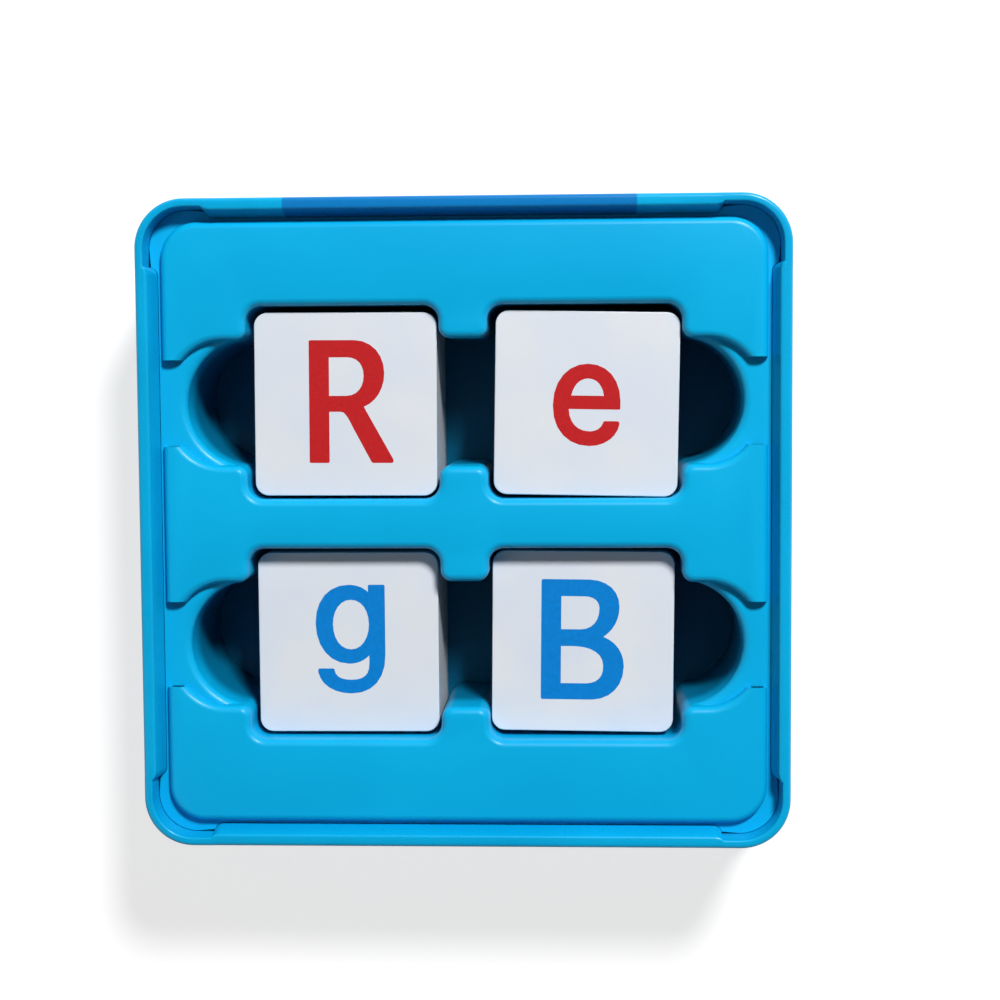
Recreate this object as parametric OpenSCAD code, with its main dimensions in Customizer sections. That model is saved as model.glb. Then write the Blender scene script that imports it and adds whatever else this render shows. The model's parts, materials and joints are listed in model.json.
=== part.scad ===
// Travel word tile game case: a square slip-lid tin with a formed plastic tray
// that holds four stacks of square card tiles. It stands open for play, with the
// lid turned over and slipped under the tin. Millimetres, +Z up, the origin in the
// middle of the face that rests on the table. The back of the case faces +Y.

/* [Tin] */
// Outer width and depth of the tin
tin_w = 106; // [104:0.5:112]
// Height of the tin from its foot to the top of the rim
tin_h = 29.5; // [27:0.5:34]
// Outer corner radius of the tin, seen from above
tin_corner_r = 11; // [9:0.5:14]
// Thickness of the tinplate
sheet = 0.3; // [0.25:0.05:0.4]
// Outer radius of the rolled rim along the straight sides
rim_roll_r = 1.45; // [1.2:0.05:1.5]
// Outer radius of the smaller roll round each corner
corner_roll_r = 0.65; // [0.55:0.05:0.9]
// Outer radius between the wall and the floor
foot_r = 1.5; // [1:0.1:2]
// How far the floor panel is pressed up from the foot
panel_rise = 0.5; // [0.3:0.1:0.8]

/* [Lid] */
// Full height of the lid
lid_h = 12; // [9:0.5:15]
// Outer radius of the safety roll along the lid's edge
lid_roll_r = 0.55; // [0.5:0.05:0.7]
// Gap between the lid's roll and the tin
lid_gap = 0.2; // [0.15:0.05:0.3]
// Outer radius between the lid's top and its skirt
lid_edge_r = 2; // [1.5:0.1:2.5]

/* [Tray] */
// Thickness of the formed plastic
skin = 0.6; // [0.5:0.05:0.7]
// Drop from the tin's rim to the tray's raised plateau
plateau_drop = 2; // [1:0.1:3]
// Height of the plateau above the flange round it
step_h = 1.8; // [1.7:0.1:2.2]
// Width of the tray over the straight sides of its flange
tray_w = 99.9; // [99.8:0.05:100]
// Gap between the flange's corners and the tin's small roll
flange_gap = 0.4; // [0.25:0.05:0.5]
// Width of the plateau between its side walls
plateau_w = 98.7; // [98.4:0.1:98.7]
// Corner radius of the plateau
plateau_r = 6; // [5:0.5:9]

/* [Cavities] */
// Distance of each row of pockets from the middle
row_y = 19.85; // [19.6:0.05:20]
// Distance of each pocket from the middle, along its row
pocket_x = 19.75; // [19.6:0.05:20]
// Width of a pocket at its mouth, between the walls
pocket_w = 31.6; // [31.5:0.05:31.9]
// Corner radius of a pocket at its mouth
pocket_r = 2.6; // [2.5:0.1:3.2]
// Radius of the corners that stand between pocket and channel
post_r = 1.8; // [1.7:0.05:2]
// Width of the channel and the thumb wells, between the walls
channel_w = 20.8; // [20:0.1:21.2]
// Distance of the centre of a thumb well's round end from the middle
well_x = 35.15; // [34.9:0.05:35.4]
// Distance from the middle at which the thumb recess starts to narrow
recess_x = 39.52; // [39.2:0.02:39.8]
// Radius of the thumb recess where it narrows
recess_r = 8.3; // [8:0.1:8.6]
// Radius of the plateau's tip beside the recess's mouth
recess_tip_r = 1.505; // [1.45:0.005:1.6]
// Radius of the rounded edges of the plateau and the cavities
lip_r = 1.3; // [1.1:0.05:1.3]

/* [Tiles] */
// Width of a tile
tile_w = 30; // [29.5:0.1:30]
// Thickness of a tile
tile_t = 2; // [1.8:0.1:2]
// Corner radius of a tile
tile_r = 2.2; // [1.5:0.1:3]
// Tiles in each stack of the rear row
rear_count = 12; // [4:1:12]
// Tiles in each stack of the front row
front_count = 11; // [4:1:12]

/* [Hidden] */
$fn = 96;
e = 0.01;
tin_colour = [0.01, 0.67, 0.9];
tray_colour = [0.02, 0.69, 0.9];
tile_colour = [0.9, 0.91, 0.92];

// Heights above the table
tin_z = sheet;
rim_z = tin_z + tin_h;
tray_z = tin_z + panel_rise + sheet;
floor_z = tray_z + skin;
plateau_z = rim_z - plateau_drop;
cavity_h = plateau_z - floor_z;

// Lid, measured outside
lid_w = tin_w + 2 * (lid_gap + 2 * lid_roll_r);
lid_corner_r = tin_corner_r + lid_gap + 2 * lid_roll_r;

// Width of the flat foot that the tin stands on, and of the joggle inside it
foot_band = 3;

// Half widths of the tray's pockets and channels
pocket_half = pocket_w / 2;
channel_half = channel_w / 2;

// Centre of the corner that stands between a pocket and a thumb well: it touches
// the pocket's outer wall and, from outside, the round end of the well
post_x = pocket_x + pocket_half + post_r;
post_y = sqrt(pow(channel_half + post_r, 2) - pow(post_x - well_x, 2));
post_turn = atan2(post_y, post_x - well_x);

// A lip's centre, from the wall and down from the top: a hair less than its radius,
// so that the round crosses both faces. Its cut reaches a little out of the wall.
lip_hair = 0.003;
lip_centre = lip_r - lip_hair;
lip_reach = 0.3;

// The recess: half its width, its round part, and the plateau's tip beyond
recess_half = post_y - post_r;
recess_y = recess_half - recess_r;
tip_x = plateau_w / 2 - recess_tip_r;
tip_y = recess_y + sqrt(pow(recess_r + recess_tip_r, 2) - pow(tip_x - recess_x, 2));

// Each stack: name, side along X, side along Y, number of tiles, how far its top
// tile lies off the pocket's middle in X and Y, and its turn in degrees
stacks = [
    ["rear_left", -1, 1, rear_count, 0.35, -0.3, -0.2],
    ["rear_right", 1, 1, rear_count, 0.3, -0.4, -1.1],
    ["front_left", -1, -1, front_count, 0.15, -0.15, 0.1],
    ["front_right", 1, -1, front_count, -0.45, 0, -0.7],
];

function tile_name(stack, layer) = str(stack[0], "_tile_", layer < 10 ? "0" : "", layer);

// Plan shapes

module rounded_square(w, r) {
    square([w - 2 * r, w], center = true);
    square([w, w - 2 * r], center = true);
    for (x = [-1, 1], y = [-1, 1])
        translate([x * (w / 2 - r), y * (w / 2 - r)])
            circle(r);
}

// Carries an upright profile round a rounded square. X = 0 of the profile lies on
// the centres of the corners, so the outer face is at X = r.
module round_the_square(w, r) {
    side = w / 2 - r;
    for (turn = [0:90:270])
        rotate(turn) {
            translate([side, 0, 0])
                rotate([90, 0, 0])
                    linear_extrude(2 * side, center = true)
                        children();
            translate([side, side, 0])
                rotate_extrude(angle = 90)
                    children();
        }
}

// Tin

// A rolled edge that starts at an upright wall's outer face, turns inwards over
// the top and comes back underneath. Its outer face is at X = 0, its top at Y = 0.
module roll_profile(r) {
    translate([-r, -r])
        difference() {
            circle(r);
            circle(r - sheet);
            translate([0, -r])
                square(r);
        }
}

// Wall, bottom radius, foot and the joggle up to the pressed floor panel
module tin_wall_profile(wall_top) {
    r = tin_corner_r;
    band_x = r - foot_r - foot_band;
    translate([r - sheet, tin_z + foot_r])
        square([sheet, wall_top - tin_z - foot_r]);
    translate([r - foot_r, tin_z + foot_r])
        difference() {
            circle(foot_r);
            circle(foot_r - sheet);
            translate([-2 * foot_r, 0])
                square([4 * foot_r, 2 * foot_r]);
            translate([-2 * foot_r, -2 * foot_r])
                square([2 * foot_r, 4 * foot_r]);
        }
    translate([band_x, tin_z])
        square([foot_band, sheet]);
    polygon([
        [band_x, tin_z], [band_x, tin_z + sheet],
        [band_x - panel_rise, tin_z + panel_rise + sheet],
        [band_x - panel_rise, tin_z + panel_rise],
    ]);
}

// Rounds off the inner edge of a roll's end, so that the roll runs out in a curve
module roll_end_cut() {
    r = rim_roll_r;
    translate([-2 * r - e, -r, -2 * r - e])
        linear_extrude(2 * r + 1)
            difference() {
                square([r + e, r + e]);
                translate([r + e, 0])
                    circle(r);
            }
}

module straight_rolls() {
    side = tin_w / 2 - tin_corner_r;
    for (turn = [0:90:270])
        rotate(turn)
            translate([tin_w / 2, 0, rim_z])
                difference() {
                    rotate([90, 0, 0])
                        linear_extrude(2 * side, center = true)
                            roll_profile(rim_roll_r);
                    for (end = [0, 1])
                        mirror([0, end, 0])
                            translate([0, side, 0])
                                roll_end_cut();
                }
}

module corner_rolls() {
    side = tin_w / 2 - tin_corner_r;
    for (turn = [0:90:270])
        rotate(turn)
            translate([side, side, rim_z])
                rotate_extrude(angle = 90) {
                    translate([tin_corner_r, 0])
                        roll_profile(corner_roll_r);
                    translate([tin_corner_r - sheet, -rim_roll_r])
                        square([sheet, rim_roll_r - corner_roll_r]);
                }
}

module tin_base() {
    panel_inset = foot_r + foot_band + panel_rise;
    color(tin_colour) {
        round_the_square(tin_w, tin_corner_r)
            tin_wall_profile(rim_z - rim_roll_r);
        translate([0, 0, tin_z + panel_rise])
            linear_extrude(sheet)
                rounded_square(tin_w - 2 * panel_inset, tin_corner_r - panel_inset);
        straight_rolls();
        corner_rolls();
    }
}

// Lid, lying on its top face with its skirt upwards

module lid_profile() {
    r = lid_corner_r;
    translate([r - sheet, lid_edge_r])
        square([sheet, lid_h - lid_roll_r - lid_edge_r]);
    translate([r - lid_edge_r, lid_edge_r])
        difference() {
            circle(lid_edge_r);
            circle(lid_edge_r - sheet);
            translate([-2 * lid_edge_r, 0])
                square([4 * lid_edge_r, 2 * lid_edge_r]);
            translate([-2 * lid_edge_r, -2 * lid_edge_r])
                square([2 * lid_edge_r, 4 * lid_edge_r]);
        }
    translate([r, lid_h])
        roll_profile(lid_roll_r);
}

module lid() {
    color(tin_colour) {
        round_the_square(lid_w, lid_corner_r)
            lid_profile();
        linear_extrude(sheet)
            rounded_square(lid_w - 2 * lid_edge_r, lid_corner_r - lid_edge_r);
    }
}

// Tray. The same outlines, grown by the skin's thickness, shape its underside.

// Plan of the whole tray over its flange. The sides pass inside the tin's rolls; the
// corners reach further out, under the smaller roll, and clear the large rolls' ends.
module flange_plan() {
    roll_x = tin_w / 2 - rim_roll_r;
    roll_y = tin_w / 2 - tin_corner_r - rim_roll_r;
    corner_w = tin_w - 4 * corner_roll_r - 2 * flange_gap;
    difference() {
        rounded_square(corner_w, tin_corner_r - (tin_w - corner_w) / 2);
        for (turn = [0:90:270])
            rotate(turn) {
                translate([tray_w / 2, -roll_y])
                    square([tin_w, 2 * roll_y]);
                for (side = [-1, 1])
                    translate([roll_x, side * roll_y])
                        circle(roll_x - tray_w / 2);
            }
    }
}

// Plan of one row: two pockets joined by a channel, with a thumb well at each end
module row_plan(grow) {
    inner_x = pocket_x - pocket_half - post_r;
    half = channel_half + grow;
    for (side = [-1, 1]) {
        translate([side * pocket_x, 0])
            rounded_square(pocket_w + 2 * grow, pocket_r + grow);
        translate([side * well_x, 0])
            circle(half);
    }
    square([2 * well_x, 2 * half], center = true);
    for (x = [0, 1], y = [0, 1])
        mirror([x, 0])
            mirror([0, y]) {
                translate([inner_x, channel_half + post_r])
                    mirror([1, 0])
                        standing_corner_plan(90, grow);
                translate([post_x, post_y])
                    standing_corner_plan(post_turn, grow);
            }
}

// The hollow that rounds a standing corner, from the corner's own centre
module standing_corner_plan(turn, grow) {
    reach = post_r + 1;
    difference() {
        polygon([
            [0, 0], [-reach, 0], [-reach, -reach],
            [-reach * cos(turn), -reach * sin(turn)],
        ]);
        circle(post_r - grow);
    }
}

// Plan of the thumb recess at the +X end of a row, out past the flange
module recess_plan(grow) {
    half = recess_half + grow;
    reach = tray_w / 2 + 2 - recess_x;
    translate([post_x, -half])
        square([recess_x - post_x, 2 * half]);
    for (side = [0, 1])
        mirror([0, side])
            difference() {
                translate([well_x, 0])
                    square([post_x - well_x, post_y]);
                translate([post_x, post_y])
                    circle(post_r - grow);
            }
    for (side = [-1, 1])
        translate([recess_x, side * recess_y])
            circle(recess_r + grow);
    translate([recess_x, -tip_y])
        square([reach, 2 * tip_y]);
}

// Everything below the tray's top face, from the underside of its floor up. With
// grow it is everything below the tray's underside instead.
module tray_form(grow) {
    below = grow > 0 ? 1 : 0;
    difference() {
        union() {
            translate([0, 0, -cavity_h - skin - below])
                linear_extrude(cavity_h + skin + below - step_h - grow)
                    if (grow > 0)
                        square(tin_w, center = true);
                    else
                        flange_plan();
            translate([0, 0, -step_h - grow])
                linear_extrude(step_h)
                    rounded_square(plateau_w - 2 * grow, plateau_r - grow);
        }
        for (side = [-1, 1])
            translate([0, side * row_y, 0]) {
                translate([0, 0, -cavity_h - grow])
                    linear_extrude(cavity_h + grow + 1)
                        row_plan(grow);
                for (x = [0, 1])
                    mirror([x, 0, 0])
                        translate([0, 0, -step_h - grow])
                            linear_extrude(step_h + grow + 1)
                                recess_plan(grow);
            }
    }
}

// The cut that rounds an edge. The wall is at X = 0 and the top face at Y = 0.
module lip_profile() {
    difference() {
        translate([-lip_reach, -lip_centre])
            square(lip_reach + lip_centre);
        translate([lip_centre, -lip_centre])
            circle(lip_r);
    }
}

// Along a wall at X = 0 whose hollow lies on its -X side
module straight_lip(from, to) {
    translate([0, to, 0])
        rotate([90, 0, 0])
            linear_extrude(to - from)
                lip_profile();
}

// Round a corner that stands inside the quarter circle
module standing_lip(r, angle = 90) {
    rotate_extrude(angle = angle)
        translate([r, 0])
            mirror([1, 0])
                lip_profile();
}

// Round a corner of a hollow
module inside_lip(r, angle = 90) {
    rotate_extrude(angle = angle)
        translate([r, 0])
            lip_profile();
}

// The half plane on the left of the line from the recess's centre to its tip's
module left_of_tip_line() {
    dx = tip_x - recess_x;
    dy = tip_y - recess_y;
    translate([recess_x, recess_y, -2 * lip_r])
        linear_extrude(4 * lip_r)
            polygon([
                [-dx, -dy], [2 * dx, 2 * dy], [2 * dx - 2 * dy, 2 * dy + 2 * dx],
                [-dx - 2 * dy, -dy + 2 * dx],
            ]);
}

// The lips of one quarter of a row
module quarter_row_lips() {
    side = pocket_half - pocket_r;
    inner_x = pocket_x - pocket_half - post_r;
    inner_y = channel_half + post_r;
    translate([inner_x, inner_y, 0])
        rotate(-90)
            standing_lip(post_r);
    translate([inner_x + post_r, 0, 0])
        mirror([1, 0, 0])
            straight_lip(inner_y, side);
    translate([pocket_x - side, side, 0])
        rotate(90)
            inside_lip(pocket_r);
    translate([0, pocket_half, 0])
        rotate(90)
            straight_lip(-pocket_x - side, -pocket_x + side);
    translate([pocket_x + side, side, 0])
        inside_lip(pocket_r);
    translate([pocket_x + pocket_half, 0, 0])
        straight_lip(post_y, side);
    translate([post_x, post_y, 0])
        rotate(180)
            standing_lip(post_r);
    translate([0, recess_half, 0])
        rotate(90)
            straight_lip(-recess_x, -post_x);
    intersection() {
        translate([recess_x, recess_y, 0])
            inside_lip(recess_r);
        left_of_tip_line();
    }
    difference() {
        translate([tip_x, tip_y, 0])
            rotate(180)
                standing_lip(recess_tip_r, 180);
        left_of_tip_line();
    }
}

// The lip of a thumb well's round end, down at the floor of its recess
module well_lip() {
    intersection() {
        translate([well_x, 0, -step_h])
            rotate(-90)
                inside_lip(channel_half, 180);
        translate([0, 0, -step_h - 2 * lip_centre])
            linear_extrude(2 * lip_centre)
                recess_plan(0);
    }
}

module row_lips() {
    inner_x = pocket_x - pocket_half - post_r;
    for (x = [0, 1], y = [0, 1])
        mirror([x, 0, 0])
            mirror([0, y, 0])
                quarter_row_lips();
    for (x = [0, 1])
        mirror([x, 0, 0])
            well_lip();
    for (turn = [0, 180])
        rotate(turn)
            translate([0, channel_half, 0])
                rotate(90)
                    straight_lip(-inner_x, inner_x);
}

// The lip round the plateau's outer edge, left out across the recesses' mouths
module outer_lips() {
    side = plateau_w / 2 - plateau_r;
    for (x = [0, 1], y = [0, 1])
        mirror([x, 0, 0])
            mirror([0, y, 0]) {
                translate([side, side, 0])
                    standing_lip(plateau_r);
                translate([plateau_w / 2, 0, 0])
                    mirror([1, 0, 0]) {
                        straight_lip(row_y + tip_y, side);
                        straight_lip(0, row_y - tip_y);
                    }
                translate([0, plateau_w / 2, 0])
                    rotate(-90)
                        straight_lip(0, side);
            }
}

module tray() {
    color(tray_colour)
        translate([0, 0, plateau_z])
            difference() {
                tray_form(0);
                tray_form(skin);
                for (side = [-1, 1])
                    translate([0, side * row_y, 0])
                        row_lips();
                outer_lips();
            }
}

// Tiles

module tile(stack, layer) {
    share = layer / stack[3];
    color(tile_colour)
        translate([
            stack[1] * pocket_x + stack[4] * share,
            stack[2] * row_y + stack[5] * share,
            floor_z + (layer - 1) * tile_t,
        ])
            rotate(stack[6] * share)
                linear_extrude(tile_t)
                    rounded_square(tile_w, tile_r);
}

lid();
tin_base();
tray();
for (stack = stacks)
    for (layer = [1:stack[3]])
        tile(stack, layer);
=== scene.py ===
# Dresses the travel word tile game case for its picture: lacquered tin and lid,
# formed tray, card tiles with printed letters, floor, lamps and camera.
# Everything is in metres; mm turns millimetres into metres.
import json
import math

import bmesh
import bpy
from mathutils import Matrix, Vector

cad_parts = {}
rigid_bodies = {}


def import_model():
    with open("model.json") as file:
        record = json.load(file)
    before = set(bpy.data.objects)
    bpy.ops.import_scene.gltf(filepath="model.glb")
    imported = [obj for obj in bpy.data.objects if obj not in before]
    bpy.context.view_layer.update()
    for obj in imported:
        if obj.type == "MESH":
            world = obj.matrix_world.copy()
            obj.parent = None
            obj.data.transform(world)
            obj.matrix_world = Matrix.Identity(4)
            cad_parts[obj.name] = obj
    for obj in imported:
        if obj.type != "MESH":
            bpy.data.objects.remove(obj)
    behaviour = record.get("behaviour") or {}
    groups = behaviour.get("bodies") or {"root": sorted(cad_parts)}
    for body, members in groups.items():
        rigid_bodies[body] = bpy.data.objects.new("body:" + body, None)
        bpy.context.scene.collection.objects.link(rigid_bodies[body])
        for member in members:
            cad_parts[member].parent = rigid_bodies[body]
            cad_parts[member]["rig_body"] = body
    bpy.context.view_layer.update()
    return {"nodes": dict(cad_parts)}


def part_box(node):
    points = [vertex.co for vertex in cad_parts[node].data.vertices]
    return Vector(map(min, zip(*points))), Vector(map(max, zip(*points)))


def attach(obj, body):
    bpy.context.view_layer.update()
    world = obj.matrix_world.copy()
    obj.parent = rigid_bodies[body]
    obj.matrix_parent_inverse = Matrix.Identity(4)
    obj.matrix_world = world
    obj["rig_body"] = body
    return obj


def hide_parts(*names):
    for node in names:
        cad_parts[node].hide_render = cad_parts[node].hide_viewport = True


mm = 0.001

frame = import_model()
nodes = frame["nodes"]
print("frame loaded:", len(nodes), "solids")


# Shader helpers

def newMaterial(name):
    material = bpy.data.materials.new(name)
    material.use_nodes = True
    material.node_tree.nodes.clear()
    return material


def addNode(material, kind, **values):
    node = material.node_tree.nodes.new(kind)
    for key, value in values.items():
        socket = node.inputs.get(key.replace("_", " "))
        if socket is not None:
            socket.default_value = value
        else:
            setattr(node, key, value)
    return node


def join(material, output, target):
    material.node_tree.links.new(output, target)


def objectCoordinates(material, scale=(1, 1, 1), location=(0, 0, 0)):
    coordinates = addNode(material, "ShaderNodeTexCoord")
    mapping = addNode(material, "ShaderNodeMapping")
    mapping.inputs["Scale"].default_value = scale
    mapping.inputs["Location"].default_value = location
    join(material, coordinates.outputs["Object"], mapping.inputs["Vector"])
    return mapping.outputs["Vector"]


def noise(material, vector, size, detail=3.0, roughness=0.5):
    # size is the width of one blotch in millimetres
    texture = addNode(material, "ShaderNodeTexNoise",
                      Scale=1 / (size * mm), Detail=detail, Roughness=roughness)
    join(material, vector, texture.inputs["Vector"])
    return texture.outputs["Fac"]


def remap(material, value, low, high, toLow, toHigh, smooth=False):
    node = addNode(material, "ShaderNodeMapRange")
    if smooth:
        node.interpolation_type = "SMOOTHSTEP"
    for name, number in (("From Min", low), ("From Max", high), ("To Min", toLow), ("To Max", toHigh)):
        node.inputs[name].default_value = number
    join(material, value, node.inputs["Value"])
    return node.outputs["Result"]


def blend(material, factor, first, second, mode="MIX"):
    node = addNode(material, "ShaderNodeMix", data_type="RGBA", blend_type=mode)
    sockets = [s for s in node.inputs if s.enabled]
    for socket, value in zip(sockets, (factor, first, second)):
        if isinstance(value, bpy.types.NodeSocket):
            join(material, value, socket)
        elif isinstance(value, (int, float)):
            socket.default_value = value
        else:
            socket.default_value = (*value, 1)
    return [s for s in node.outputs if s.enabled][0]


def calculate(material, operation, first, second=0.0, clamp=False):
    node = addNode(material, "ShaderNodeMath", operation=operation, use_clamp=clamp)
    for socket, value in zip(node.inputs, (first, second)):
        if isinstance(value, bpy.types.NodeSocket):
            join(material, value, socket)
        else:
            socket.default_value = value
    return node.outputs[0]


def bump(material, height, depth, strength=1.0, normal=None):
    # depth is how far the relief reaches, in millimetres
    node = addNode(material, "ShaderNodeBump", Strength=strength, Distance=depth * mm)
    join(material, height, node.inputs["Height"])
    if normal is not None:
        join(material, normal, node.inputs["Normal"])
    return node.outputs["Normal"]


def closeMaterial(material, **values):
    shader = addNode(material, "ShaderNodeBsdfPrincipled")
    output = addNode(material, "ShaderNodeOutputMaterial")
    for key, value in values.items():
        socket = shader.inputs[key.replace("_", " ")]
        if isinstance(value, bpy.types.NodeSocket):
            join(material, value, socket)
        elif isinstance(value, (tuple, list)) and len(value) == 3:
            socket.default_value = (*value, 1)
        else:
            socket.default_value = value
    join(material, shader.outputs["BSDF"], output.inputs["Surface"])
    return material


def linear(red, green, blue):
    # a colour as it is seen on screen, 0 to 255, to the values that the shader takes
    def one(value):
        value /= 255
        return value / 12.92 if value <= 0.04045 else ((value + 0.055) / 1.055) ** 2.4
    return one(red), one(green), one(blue)


# Tinplate

tinFinish = {
    "lacquer": linear(6, 172, 226),
    "lacquerDeep": linear(3, 164, 218),
    "panel": linear(12, 122, 194),      # the darker field printed on the back
    "panelFrom": -28.8, "panelTo": 28.2,  # along X, millimetres
    "panelFoot": 4.0,                    # its lower edge above the table
    "panelFront": 49.0,                  # it starts behind this Y
    "edgeSoftness": 0.12,
    "roughness": 0.3,
}


def past(material, value, limit, rising=True):
    # goes over from 0 to 1 where the value passes the limit, or from 1 to 0
    soft = tinFinish["edgeSoftness"]
    start, end = (0, 1) if rising else (1, 0)
    return remap(material, value, (limit - soft) * mm, (limit + soft) * mm, start, end)


def makeLacquer(name, withPanel):
    finish = tinFinish
    material = newMaterial(name)
    place = objectCoordinates(material)
    cloud = noise(material, place, 22, 2)
    colour = blend(material, remap(material, cloud, 0.35, 0.65, 0, 1),
                   finish["lacquer"], finish["lacquerDeep"])
    if withPanel:
        parts = addNode(material, "ShaderNodeSeparateXYZ")
        join(material, place, parts.inputs[0])
        mask = past(material, parts.outputs["X"], finish["panelFrom"])
        limits = (("X", "panelTo", False), ("Y", "panelFront", True), ("Z", "panelFoot", True))
        for axis, limit, rising in limits:
            edge = past(material, parts.outputs[axis], finish[limit], rising)
            mask = calculate(material, "MULTIPLY", mask, edge)
        colour = blend(material, mask, colour, finish["panel"])
    ripple = noise(material, place, 1.6, 2)
    speck = noise(material, place, 0.35, 3)
    rough = remap(material, speck, 0.3, 0.7, finish["roughness"] - 0.04, finish["roughness"] + 0.05)
    relief = bump(material, ripple, 0.012, 0.6)
    return closeMaterial(
        material, Base_Color=colour, Roughness=rough, Normal=relief,
        Specular_IOR_Level=0.2, Coat_Weight=0.1, Coat_Roughness=0.12)


tinLacquer = makeLacquer("tin_lacquer", True)
lidLacquer = makeLacquer("lid_lacquer", False)


# Formed tray

trayFinish = {
    "colour": linear(4, 176, 229),
    "cloud": linear(3, 170, 224),
    # painted shade: the colour down in the hollows, darker lower down, chosen so that they come out
    # as dark as in the photo, which the lamps alone don't give; heights above the table, millimetres
    "paintedShade": linear(2, 112, 152),
    "paintedShadeFrom": 23.5, "paintedShadeTo": 17.0,
    "roughness": 0.34,
    "shine": 0.22,
}


def makeTrayPlastic():
    finish = trayFinish
    material = newMaterial("tray_plastic")
    place = objectCoordinates(material)
    cloud = noise(material, place, 30, 2)
    colour = blend(material, remap(material, cloud, 0.35, 0.65, 0, 1), finish["colour"], finish["cloud"])
    parts = addNode(material, "ShaderNodeSeparateXYZ")
    join(material, place, parts.inputs[0])
    # painted shade: lower down in the hollows the colour goes over to the darker one
    paintedShade = remap(material, parts.outputs["Z"], finish["paintedShadeTo"] * mm, finish["paintedShadeFrom"] * mm, 1, 0, True)
    colour = blend(material, paintedShade, colour, finish["paintedShade"])
    fine = noise(material, place, 0.25, 4, 0.6)
    wave = noise(material, place, 6, 2)
    rough = remap(material, fine, 0.3, 0.7, finish["roughness"] - 0.05, finish["roughness"] + 0.06)
    relief = bump(material, wave, 0.03, 0.5, bump(material, fine, 0.004, 0.5))
    return closeMaterial(material, Base_Color=colour, Roughness=rough, Normal=relief,
                         Specular_IOR_Level=finish["shine"])


trayPlastic = makeTrayPlastic()


# Tin base and lid: one outline of the drawn sheet, carried round a rounded square. A
# row is one bend: how far in from the outer face it lies, its height above the table
# and its radius, in millimetres. The outline runs from the flat panel's underside
# over the rim to the panel's top.

tinShape = {
    "halfWidth": 53.0, "cornerRadius": 8.0,
    "side": [(5, 0.8, 0), (4.5, 0.3, 0.1), (0, 0.3, 1.5), (0, 29.8, 0.7), (1.9, 29.8, 0.45),
             (3, 26.07, 0.05), (0.3, 26.07, 0.1), (0.3, 0.6, 1.2), (4.5, 0.6, 0.1), (5, 1.1, 0)],
    "corner": [(5, 0.8, 0), (4.5, 0.3, 0.1), (0, 0.3, 1.5), (0, 29.8, 0.6), (1.35, 29.8, 0.3),
               (1.65, 26.07, 0.05), (0.3, 26.07, 0.1), (0.3, 0.6, 1.2), (4.5, 0.6, 0.1), (5, 1.1, 0)],
    "footRow": 5,            # the row at the foot of the rim's inner face
    "rollEnd": 40.55,        # from here the wide rim of a side runs out in a curve
    "rollEndRadius": 1.55,
}
lidShape = {
    "halfWidth": 54.3, "cornerRadius": 9.3,
    "side": [(4, 0, 0), (0, 0, 2), (0, 12, 0.5), (1.1, 12, 0.5), (1.1, 10.9, 0.5), (0.3, 10.9, 0.1),
             (0.3, 0.3, 1.7), (4, 0.3, 0)],
}
sweepSteps = {"bend": 5, "rollEnd": 9, "corner": 16}
alongSide = 20               # one more station on a straight side, millimetres from its middle
weld = 0.002                 # points closer than this are one, millimetres


def bentOutline(rows):
    points = [Vector(rows[0][:2])]
    for before, row, after in zip(rows, rows[1:], rows[2:]):
        bend, radius = Vector(row[:2]), row[2]
        back = (Vector(before[:2]) - bend).normalized()
        onward = (Vector(after[:2]) - bend).normalized()
        half = back.angle(onward) / 2
        centre = bend + (back + onward).normalized() * radius / math.sin(half)
        start = bend + back * radius / math.tan(half) - centre
        end = bend + onward * radius / math.tan(half) - centre
        steps = sweepSteps["bend"]
        # slerp gives a direction of length 1
        points += [centre + start.slerp(end, step / steps) * radius for step in range(steps + 1)]
    points.append(Vector(rows[-1][:2]))
    return points


def stationsOf(shape):
    # for a quarter of the way round: the arc's centre, the turn about it, and how much
    # of the side's outline is left there
    middle = shape["halfWidth"] - shape["cornerRadius"]
    sides = [(0, 1), (alongSide, 1)]
    if "rollEnd" in shape:
        radius, steps = shape["rollEndRadius"], sweepSteps["rollEnd"]
        widest, least = (shape[place][shape["footRow"]][0] for place in ("side", "corner"))
        last = math.acos((least - widest + radius) / radius)
        for step in range(steps + 1):
            angle = last * step / steps
            share = 1 - radius * (1 - math.cos(angle)) / (widest - least)
            sides.append((shape["rollEnd"] + radius * math.sin(angle), share))
    sides.append((middle, 0))
    cornerSteps = sweepSteps["corner"]
    turns = [math.pi / 2 * step / cornerSteps for step in range(1, cornerSteps)]
    return ([((middle, along), 0, share) for along, share in sides]
            + [((middle, middle), turn, 0) for turn in turns]
            + [((along, middle), math.pi / 2, share) for along, share in reversed(sides)])


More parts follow.
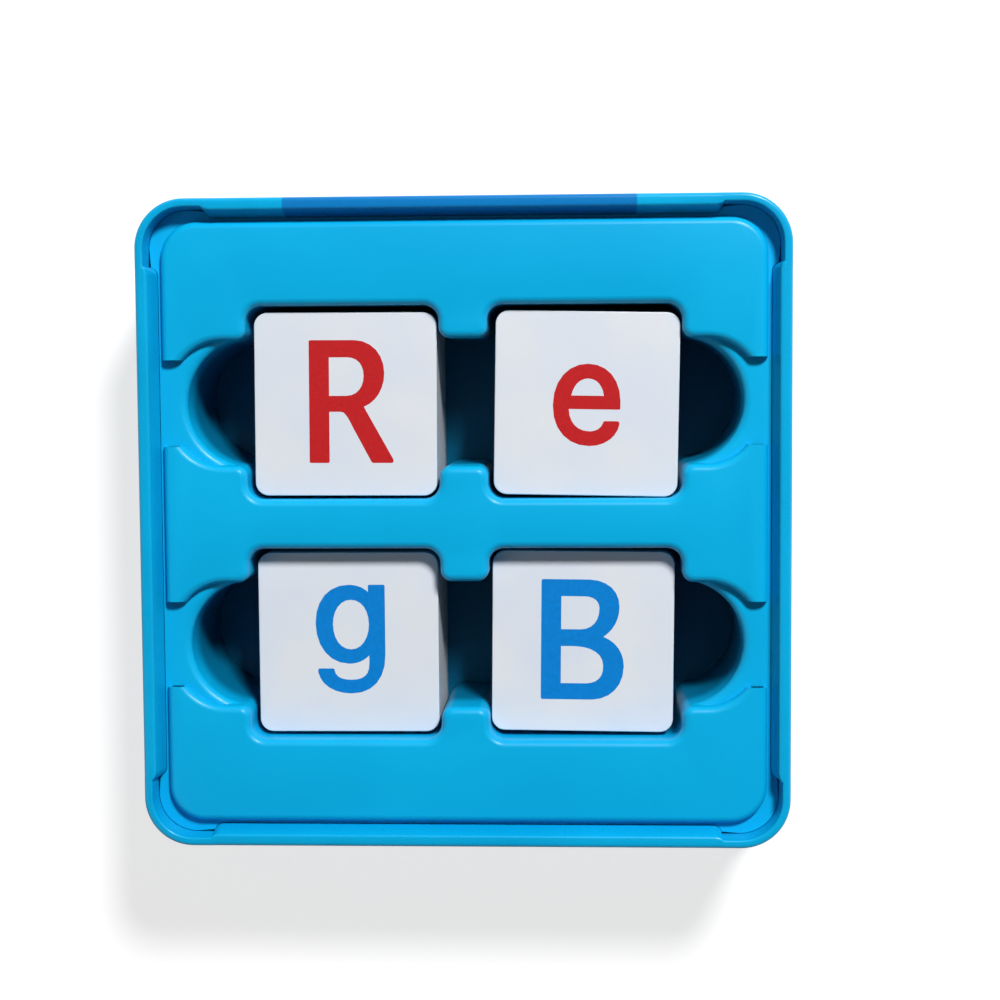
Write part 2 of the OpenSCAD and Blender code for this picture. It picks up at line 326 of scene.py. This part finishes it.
def sweptPan(shape):
    side = bentOutline(shape["side"])
    corner = bentOutline(shape.get("corner", shape["side"]))

    def outlineAt(quarter, centre, turn, share):
        around = Matrix.Rotation(quarter * math.pi / 2, 3, "Z")
        spots = []
        for broad, slim in zip(side, corner):
            inset, height = slim.lerp(broad, share)
            reach = shape["cornerRadius"] - inset
            x = centre[0] + reach * math.cos(turn)
            y = centre[1] + reach * math.sin(turn)
            spots.append(around @ Vector((x, y, height)) * mm)
        return spots

    pan = bmesh.new()
    # each quarter after the first leaves out its first station, where the last one ended
    stations = [(quarter, *station) for quarter in range(4) for station in stationsOf(shape)[quarter > 0:]]
    verts = [pan.verts.new(spot) for spot in outlineAt(*stations[0])]
    front = [pan.edges.new(pair) for pair in zip(verts, verts[1:])]
    for station in stations[1:]:
        order = {vert: index for index, vert in enumerate(verts)}
        grown = bmesh.ops.extrude_edge_only(pan, edges=front)["geom"]
        front = [item for item in grown if isinstance(item, bmesh.types.BMEdge)]
        for vert in [item for item in grown if isinstance(item, bmesh.types.BMVert)]:
            neighbours = [edge.other_vert(vert) for edge in vert.link_edges]
            verts[next(order[old] for old in neighbours if old in order)] = vert
        for vert, spot in zip(verts, outlineAt(*station)):
            vert.co = spot
    bmesh.ops.remove_doubles(pan, verts=pan.verts, dist=weld * mm)
    bmesh.ops.holes_fill(pan, edges=[edge for edge in pan.edges if edge.is_boundary], sides=0)
    bmesh.ops.recalc_face_normals(pan, faces=pan.faces)
    return pan


def addPiece(shape, name, replaced, material, sharpFrom=32):
    # edges that bend by more than sharpFrom degrees stay crisp
    for face in shape.faces:
        face.smooth = True
    for edge in shape.edges:
        edge.smooth = edge.is_manifold and edge.calc_face_angle(0) < math.radians(sharpFrom)
    mesh = bpy.data.meshes.new(name)
    shape.to_mesh(mesh)
    shape.free()
    mesh.materials.append(material)
    piece = bpy.data.objects.new(name, mesh)
    bpy.context.scene.collection.objects.link(piece)
    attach(piece, nodes[replaced]["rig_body"])
    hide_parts(replaced)


addPiece(sweptPan(tinShape), "tin_base_drawn", "tin_base", tinLacquer)
addPiece(sweptPan(lidShape), "lid_drawn", "lid", lidLacquer)
print("tin and lid drawn")


# Tray: the CAD form with its flange led out into the tin's corners

trayShape = {
    "flangeTop": 26.1,       # the flange lies below this height
    "arcCentre": 42.0, "arcRadius": 9.3,   # its corners in the CAD form
    "arcSlack": 0.03, "endSlack": 0.01,    # how far off the arc a point may lie
    "cornerCentre": 45.0,    # where the corners' arcs are led to
}


def formedTray():
    shape = trayShape
    tray = bmesh.new()
    tray.from_mesh(nodes["tray"].data)
    bmesh.ops.transform(tray, matrix=nodes["tray"].matrix_world, verts=tray.verts)
    bmesh.ops.remove_doubles(tray, verts=tray.verts, dist=1e-6)
    centre, radius = shape["arcCentre"] * mm, shape["arcRadius"] * mm
    newCentre = shape["cornerCentre"] * mm
    newRadius = radius - (newCentre - centre)
    for vert in tray.verts:
        spot = vert.co
        out = Vector((abs(spot.x) - centre, abs(spot.y) - centre))
        onArc = abs(out.length - radius) < shape["arcSlack"] * mm and min(out) > -shape["endSlack"] * mm
        if onArc and spot.z < shape["flangeTop"] * mm:
            scale = newRadius / out.length
            spot.x = math.copysign(newCentre + out.x * scale, spot.x)
            spot.y = math.copysign(newCentre + out.y * scale, spot.y)
    return tray


addPiece(formedTray(), "tray_formed", "tray", trayPlastic, 40)
print("tray formed")


# Card tiles

tileShape = {
    "width": 30.0,
    "thickness": 2.0,
    "cornerRadius": 2.2,
    "edgeRadius": 0.16,      # the soft edge that the die leaves
    "inkRelief": 0.012,
    "headroom": 0.03,        # the card stays this far below its solid's top
}
tileFinish = {
    "paper": linear(214, 222, 234),
    "paperWarm": linear(222, 226, 232),
    "core": linear(176, 180, 184),
    "red": linear(196, 34, 38),
    "blue": linear(4, 130, 214),
    "layers": 5,             # plies that show in the side of a tile
}
# Each stack: top letter, ink, and how far its top tile is turned, in degrees
stacks = {
    "rear_left": {"letters": "Reog", "ink": "red", "turn": -0.2},
    "rear_right": {"letters": "egRo", "ink": "red", "turn": -1.1},
    "front_left": {"letters": "gBeo", "ink": "blue", "turn": 0.1},
    "front_right": {"letters": "BoRe", "ink": "blue", "turn": -0.7},
}
# Letter outlines in millimetres from the middle of the tile: M starts a loop,
# L draws a line and C a curve, Z closes it
letterShapes = {
    "R": "M -6 10.2 C -6 10.4 -5.9 10.5 -5.7 10.5 L 1.4 10.5 C 4.4 10.5 6.4 8.1 6.4 5.1 "
         "C 6.4 2.5 5 0.4 3 -0.4 L 7.8 -9 C 7.9 -9.3 7.8 -9.6 7.5 -9.6 L 4.6 -9.6 "
         "C 4.4 -9.6 4.3 -9.5 4.2 -9.4 L 1.2 -3.8 C 0.6 -2.6 0 -1.2 -0.8 -1.2 L -2.7 -1.2 L -2.7 -9.3 "
         "C -2.7 -9.5 -2.8 -9.6 -3 -9.6 L -5.7 -9.6 C -5.9 -9.6 -6 -9.5 -6 -9.3 Z M -2.7 7.7 "
         "L 0.3 7.7 C 2 7.7 3 6.5 3 4.7 C 3 2.8 1.9 1.4 0.1 1.4 L -2.7 1.4 Z",
    "e": "M 5.3 -0.9 C 5.4 -0.9 5.5 -0.8 5.5 -0.7 L 5.5 0.5 C 5.4 4.1 3.3 6.5 0.2 6.5 "
         "C -3.1 6.5 -5.5 3.8 -5.5 -0.3 C -5.5 -4.5 -2.9 -6.9 0.5 -6.9 C 3.2 -6.9 5.1 -5.2 5.4 -3.3 "
         "C 5.4 -3 5.3 -2.8 5.1 -2.8 L 3 -2.8 C 2.9 -2.8 2.8 -2.9 2.7 -3.1 C 2.4 -4 1.6 -4.5 0.5 -4.5 "
         "C -1.4 -4.5 -2.8 -3.2 -2.9 -0.9 Z M -2.5 1.3 C -2.2 3 -1.1 4.1 0.2 4.1 "
         "C 1.6 4.1 2.6 3 2.8 1.3 Z",
    "g": "M 3.3 9.3 C 3.3 9.5 3.4 9.6 3.6 9.6 L 5.8 9.6 C 6 9.6 6.1 9.5 6.1 9.2 L 6.1 -2.1 "
         "C 6.1 -6.1 4 -8.6 0.4 -8.6 C -2.5 -8.6 -4.8 -7.2 -5.2 -4.9 C -5.2 -4.6 -5.1 -4.4 -4.9 -4.4 "
         "L -2.7 -4.4 C -2.5 -4.4 -2.4 -4.6 -2.4 -4.8 C -2.2 -5.8 -1.3 -6.3 0.4 -6.3 "
         "C 2.4 -6.3 3.4 -5.5 3.4 -3.6 L 3.4 -2.2 C 2.6 -3.1 1.4 -3.6 0.1 -3.6 "
         "C -3.3 -3.6 -5.5 -0.7 -5.5 3.2 C -5.5 7 -3.3 9.6 0 9.6 C 1.5 9.6 2.6 9.1 3.3 8.4 Z "
         "M 0.4 7.1 C -1.3 7.1 -2.6 5.4 -2.6 3 C -2.6 0.6 -1.4 -1.2 0.4 -1.2 C 2.1 -1.2 3.4 0.6 3.4 3 "
         "C 3.4 5.4 2.2 7.1 0.4 7.1 Z",
    "B": "M -6.9 9.9 C -6.9 10.1 -6.8 10.3 -6.6 10.3 L 1.1 10.3 C 4.1 10.2 6 8.4 6 5.8 "
         "C 6 3.7 5.1 2 3.4 0.8 C 5.5 0 6.8 -1.8 6.8 -4.1 C 6.8 -7.4 4.6 -9.6 1.6 -9.7 L -6.6 -9.7 "
         "C -6.8 -9.7 -6.9 -9.6 -6.9 -9.4 Z M -3.6 7.5 L 0.3 7.5 C 1.8 7.5 2.7 6.7 2.7 5.5 "
         "C 2.7 3.4 1.5 2 -0.4 2 L -3.6 2 Z M -3.6 -0.8 L -1.2 -0.8 C 1.5 -0.9 3.4 -2 3.4 -4.1 "
         "C 3.4 -5.9 2.5 -6.9 0.6 -7 L -3.6 -7 Z",
    "o": "M 0 6.5 C -3.2 6.5 -5.5 3.8 -5.5 -0.2 C -5.5 -4.2 -3.2 -6.9 0 -6.9 "
         "C 3.2 -6.9 5.5 -4.2 5.5 -0.2 C 5.5 3.8 3.2 6.5 0 6.5 Z M 0 4.1 C 1.8 4.1 2.9 2.5 2.9 -0.2 "
         "C 2.9 -2.9 1.8 -4.5 0 -4.5 C -1.8 -4.5 -2.9 -2.9 -2.9 -0.2 C -2.9 2.5 -1.8 4.1 0 4.1 Z",
}


def makeCard():
    finish = tileFinish
    material = newMaterial("tile_card")
    place = objectCoordinates(material)
    parts = addNode(material, "ShaderNodeSeparateXYZ")
    join(material, place, parts.inputs[0])
    geometry = addNode(material, "ShaderNodeNewGeometry")
    facing = addNode(material, "ShaderNodeSeparateXYZ")
    join(material, geometry.outputs["Normal"], facing.inputs[0])
    side = remap(material, calculate(material, "ABSOLUTE", facing.outputs["Z"]), 0.2, 0.6, 1, 0)
    tone = noise(material, place, 14, 3)
    face = blend(material, remap(material, tone, 0.35, 0.65, 0, 1), finish["paper"], finish["paperWarm"])
    layersPerMetre = finish["layers"] / (tileShape["thickness"] * mm)
    layer = calculate(material, "MULTIPLY", parts.outputs["Z"], layersPerMetre)
    ply = calculate(material, "FRACT", layer)
    offMiddle = calculate(material, "ABSOLUTE", calculate(material, "SUBTRACT", ply, 0.5))
    plyEdge = remap(material, offMiddle, 0.3, 0.5, 0, 1)
    fibre = noise(material, objectCoordinates(material, (1, 1, 6)), 0.5, 4, 0.65)
    core = blend(material, remap(material, fibre, 0.3, 0.7, 0, 1), finish["core"], finish["paperWarm"])
    core = blend(material, calculate(material, "MULTIPLY", plyEdge, 0.35), core, finish["core"])
    colour = blend(material, side, face, core)
    grain = noise(material, place, 0.18, 4, 0.6)
    grooves = calculate(material, "MULTIPLY", plyEdge, side)
    relief = bump(material, grooves, 0.05, 0.6, bump(material, grain, 0.006, 0.5))
    rough = remap(material, grain, 0.3, 0.7, 0.48, 0.6)
    return closeMaterial(material, Base_Color=colour, Roughness=rough, Normal=relief,
                         Specular_IOR_Level=0.35)


def makeInk(name, colour):
    material = newMaterial(name)
    place = objectCoordinates(material)
    mottle = noise(material, place, 0.6, 4, 0.6)
    darker = tuple(value * 0.88 for value in colour)
    tone = blend(material, remap(material, mottle, 0.35, 0.65, 0, 1), colour, darker)
    relief = bump(material, noise(material, place, 0.18, 4, 0.6), 0.005, 0.5)
    return closeMaterial(material, Base_Color=tone, Roughness=0.42, Normal=relief,
                         Specular_IOR_Level=0.2)


def letterMesh(letter):
    # a flat curve with its loops, filled, given a hair of height and made a mesh
    curve = bpy.data.curves.new("letter_" + letter, "CURVE")
    curve.dimensions = "2D"
    curve.fill_mode = "BOTH"
    curve.resolution_u = 6
    curve.extrude = tileShape["inkRelief"] * mm
    for loop in letterShapes[letter].split("Z"):
        words = loop.split()
        knots, at, step = [], 0, 0
        while at < len(words):
            step = {"M": 1, "L": 1, "C": 3}[words[at]]
            values = [float(word) * mm for word in words[at + 1:at + 1 + 2 * step]]
            points = [Vector((values[i], values[i + 1], 0)) for i in range(0, len(values), 2)]
            if step == 3:
                knots[-1][2] = points[0]
                knots.append([points[1], points[2], None])
            else:
                knots.append([None, points[0], None])
            at += 1 + 2 * step
        if not knots:
            continue
        if (knots[0][1] - knots[-1][1]).length < 1e-7:  # the loop ends where it starts
            knots[0][0] = knots[-1][0]
            knots.pop()
        spline = curve.splines.new("BEZIER")
        spline.use_cyclic_u = True
        spline.bezier_points.add(len(knots) - 1)
        for index, (before, spot, after) in enumerate(knots):
            point = spline.bezier_points[index]
            point.handle_left_type = point.handle_right_type = "FREE"
            point.co = spot
            towards = knots[(index + 1) % len(knots)][1]
            backTo = knots[index - 1][1]
            point.handle_left = before if before is not None else spot.lerp(backTo, 1 / 3)
            point.handle_right = after if after is not None else spot.lerp(towards, 1 / 3)
    holder = bpy.data.objects.new("letter_holder", curve)
    bpy.context.scene.collection.objects.link(holder)
    bpy.context.view_layer.update()
    mesh = bpy.data.meshes.new_from_object(holder.evaluated_get(bpy.context.evaluated_depsgraph_get()))
    bpy.data.objects.remove(holder)
    bpy.data.curves.remove(curve)
    mesh.transform(Matrix.Translation((0, 0, (tileShape["thickness"] - tileShape["headroom"]) * mm)))
    for polygon in mesh.polygons:
        polygon.material_index = 1
    return mesh


def cardMesh():
    # a square card, its corners rounded by the die and its edges just broken
    shape = tileShape
    height = shape["thickness"] - shape["headroom"]
    card = bmesh.new()
    bmesh.ops.create_cube(card, size=1)
    bmesh.ops.scale(card, vec=(shape["width"] * mm, shape["width"] * mm, height * mm), verts=card.verts)
    bmesh.ops.translate(card, vec=(0, 0, height / 2 * mm), verts=card.verts)
    upright = [edge for edge in card.edges if abs(edge.verts[0].co.z - edge.verts[1].co.z) > mm]
    bmesh.ops.bevel(card, geom=upright, offset=shape["cornerRadius"] * mm, offset_type="OFFSET",
                    segments=8, profile=0.5, affect="EDGES", material=-1)
    rims = [edge for edge in card.edges if abs(edge.verts[0].co.z - edge.verts[1].co.z) < 1e-7]
    bmesh.ops.bevel(card, geom=rims, offset=shape["edgeRadius"] * mm, offset_type="OFFSET",
                    segments=2, profile=0.5, affect="EDGES", material=-1)
    return card


cardMaterial = makeCard()
inks = {name: makeInk("tile_ink_" + name, tileFinish[name]) for name in ("red", "blue")}
letters = {letter: letterMesh(letter) for letter in letterShapes}

for stackName, stack in stacks.items():
    tileNodes = sorted(name for name in nodes if name.startswith(stackName + "_tile_"))
    for layer, name in enumerate(tileNodes, 1):
        low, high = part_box(name)
        letter = stack["letters"][(len(tileNodes) - layer) % len(stack["letters"])]
        tile = cardMesh()
        for face in tile.faces:
            face.smooth = face.calc_area() < 5e-6
        tile.from_mesh(letters[letter])
        turn = math.radians(stack["turn"] * layer / len(tileNodes))
        foot = Vector(((low.x + high.x) / 2, (low.y + high.y) / 2, low.z))
        place = Matrix.Translation(foot) @ Matrix.Rotation(turn, 4, "Z")
        bmesh.ops.transform(tile, matrix=place, verts=tile.verts)
        mesh = bpy.data.meshes.new(name + "_card")
        tile.to_mesh(mesh)
        tile.free()
        mesh.materials.append(cardMaterial)
        mesh.materials.append(inks[stack["ink"]])
        piece = bpy.data.objects.new(name + "_card", mesh)
        bpy.context.scene.collection.objects.link(piece)
        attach(piece, nodes[name]["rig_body"])
        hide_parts(name)
print("tiles printed")


# Floor, lamps and camera

studio = {
    "floorColour": (0.93, 0.93, 0.93),
    "floorGlow": 0.72,        # what the camera sees of the floor's white in any shadow
    "floorShade": (0.4, 0.4, 0.4),
    "ambient": 0.07,          # what the world gives to diffuse surfaces
    "ambientColour": (1.0, 0.9, 0.72),
    "surroundTop": 0.35,      # the white surround ends here, as the height of a direction
    "ceilingFoot": 0.7,
    "keyFrom": (0.4, 0.84, 1.0),
    "keyWidth": 0.26,
    "keyPower": 21.8,
    "fillFrom": (-0.9, -0.5, 0.9),
    "fillWidth": 0.9,
    "fillPower": 1.5,
}


def makeFloor():
    material = newMaterial("floor")
    path = addNode(material, "ShaderNodeLightPath")
    matt = addNode(material, "ShaderNodeBsdfDiffuse")
    matt.inputs["Color"].default_value = (*studio["floorColour"], 1)
    shade = addNode(material, "ShaderNodeBsdfDiffuse")
    shade.inputs["Color"].default_value = (*studio["floorShade"], 1)
    glow = addNode(material, "ShaderNodeEmission", Strength=studio["floorGlow"])
    both = addNode(material, "ShaderNodeAddShader")
    choose = addNode(material, "ShaderNodeMixShader")
    output = addNode(material, "ShaderNodeOutputMaterial")
    join(material, shade.outputs[0], both.inputs[0])
    join(material, glow.outputs[0], both.inputs[1])
    join(material, path.outputs["Is Camera Ray"], choose.inputs[0])
    join(material, matt.outputs[0], choose.inputs[1])
    join(material, both.outputs[0], choose.inputs[2])
    join(material, choose.outputs[0], output.inputs["Surface"])
    ground = bmesh.new()
    bmesh.ops.create_grid(ground, x_segments=1, y_segments=1, size=1.6)
    mesh = bpy.data.meshes.new("floor")
    ground.to_mesh(mesh)
    ground.free()
    mesh.materials.append(material)
    floor = bpy.data.objects.new("floor", mesh)
    bpy.context.scene.collection.objects.link(floor)


def makeWorld():
    # a white surround up to a dim ceiling, as the camera and reflections see it; what
    # falls on matt surfaces from it is low, so that the lamps shape the hollows
    world = bpy.data.worlds.new("studio")
    world.use_nodes = True
    world.node_tree.nodes.clear()
    direction = addNode(world, "ShaderNodeTexCoord").outputs["Generated"]
    parts = addNode(world, "ShaderNodeSeparateXYZ")
    join(world, direction, parts.inputs[0])
    surround = remap(world, parts.outputs["Z"], studio["surroundTop"], studio["ceilingFoot"], 1, 0, True)
    path = addNode(world, "ShaderNodeLightPath")
    seen = calculate(world, "MAXIMUM", path.outputs["Is Camera Ray"], path.outputs["Is Glossy Ray"])
    seen = calculate(world, "MAXIMUM", seen, path.outputs["Is Transmission Ray"])
    strength = remap(world, calculate(world, "MULTIPLY", seen, surround), 0, 1, studio["ambient"], 1)
    sky = addNode(world, "ShaderNodeBackground")
    join(world, blend(world, seen, studio["ambientColour"], (1, 1, 1)), sky.inputs["Color"])
    join(world, strength, sky.inputs["Strength"])
    output = addNode(world, "ShaderNodeOutputWorld")
    join(world, sky.outputs[0], output.inputs["Surface"])
    bpy.context.scene.world = world


def addLamp(name, place, width, power, target=(0, 0, 0.025)):
    lamp = bpy.data.lights.new(name, "AREA")
    lamp.shape = "DISK"
    lamp.size = width
    lamp.energy = power
    holder = bpy.data.objects.new(name, lamp)
    bpy.context.scene.collection.objects.link(holder)
    holder.location = place
    holder.rotation_euler = (Vector(target) - Vector(place)).to_track_quat("-Z", "Y").to_euler()


view = {
    "place": (20.429, 24.948, 332.8),    # millimetres
    "tilt": (3.945, -2.715, 0.181),      # degrees about X, Y and Z
    "lens": 67.74,
}


def makeCamera():
    data = bpy.data.cameras.new("camera")
    data.lens = view["lens"]
    data.sensor_width = 36
    data.clip_start = 0.01
    holder = bpy.data.objects.new("camera", data)
    bpy.context.scene.collection.objects.link(holder)
    tiltX, tiltY, tiltZ = (math.radians(angle) for angle in view["tilt"])
    turn = Matrix.Rotation(tiltZ, 3, "Z") @ Matrix.Rotation(tiltY, 3, "Y") @ Matrix.Rotation(tiltX, 3, "X")
    place = Matrix.Translation(Vector(view["place"]) * mm)
    holder.matrix_world = place @ turn.transposed().to_4x4()
    bpy.context.scene.camera = holder


makeCamera()
makeFloor()
makeWorld()
addLamp("key", studio["keyFrom"], studio["keyWidth"], studio["keyPower"])
addLamp("fill", studio["fillFrom"], studio["fillWidth"], studio["fillPower"])
bpy.context.scene.view_settings.view_transform = "Standard"
print("studio ready")
